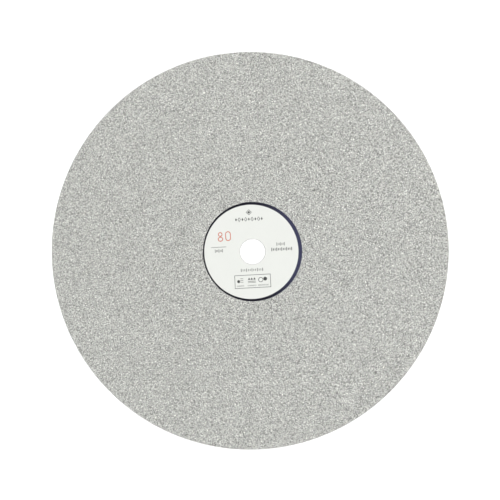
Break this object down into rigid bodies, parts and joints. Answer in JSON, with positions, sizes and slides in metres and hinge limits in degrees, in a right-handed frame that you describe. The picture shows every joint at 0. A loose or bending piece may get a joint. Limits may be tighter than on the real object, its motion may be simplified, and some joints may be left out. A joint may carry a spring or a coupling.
{
  "type": "diamond lapping disc",
  "caption": "Flat round steel lapping disc with a nickel-bonded diamond grit face, a central arbor bore and a paper label on its blue lacquered centre.",
  "frame": {"origin": "centre of the bore at the disc's back face", "axes": "+Z out of the abrasive face along the bore, +Y towards the top of the label"},
  "size_m": [0.2, 0.2, 0.0012],
  "materials": {
    "plate_steel": "satin",
    "diamond_grit": "matte",
    "blue_lacquer": "gloss",
    "label_paper": "matte"
  },
  "bodies": {
    "root": {"steel_plate": "plate_steel", "diamond_coating": "diamond_grit", "centre_lacquer": "blue_lacquer", "paper_label": "label_paper"}
  },
  "joints": []
}
